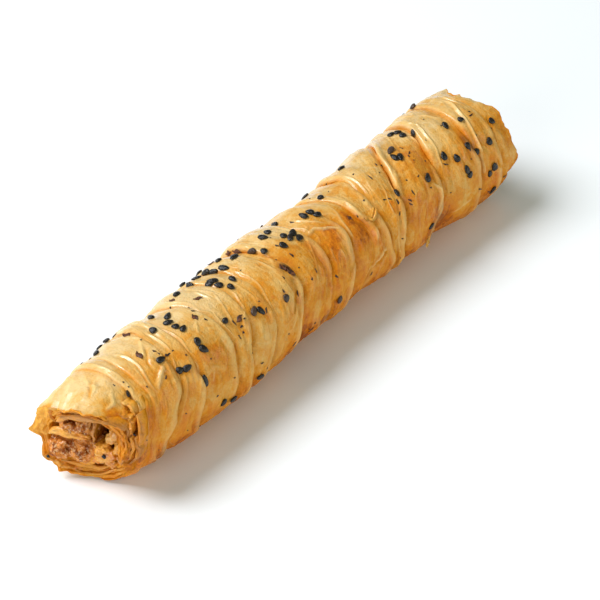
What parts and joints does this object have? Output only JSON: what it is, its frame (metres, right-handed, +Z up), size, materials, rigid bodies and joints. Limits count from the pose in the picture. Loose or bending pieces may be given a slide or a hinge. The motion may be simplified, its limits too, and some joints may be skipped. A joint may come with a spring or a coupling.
{
  "type": "rolled borek",
  "caption": "Stick of thin pastry ruffled into folds round its length and baked golden brown, with minced filling showing in its open end.",
  "frame": {"origin": "centre of the bounding box's bottom face, on the surface the roll rests on", "axes": "+X along the roll from the near open mouth to the far end, +Z up, +Y towards the side the filling's fold opens to"},
  "size_m": [0.19, 0.0383, 0.0359],
  "materials": {
    "baked_pastry": "golden brown baked dough with an oily satin sheen",
    "minced_filling": "moist brown minced meat, granular"
  },
  "bodies": {
    "root": {"pastry": "baked_pastry", "filling": "minced_filling"}
  },
  "joints": []
}
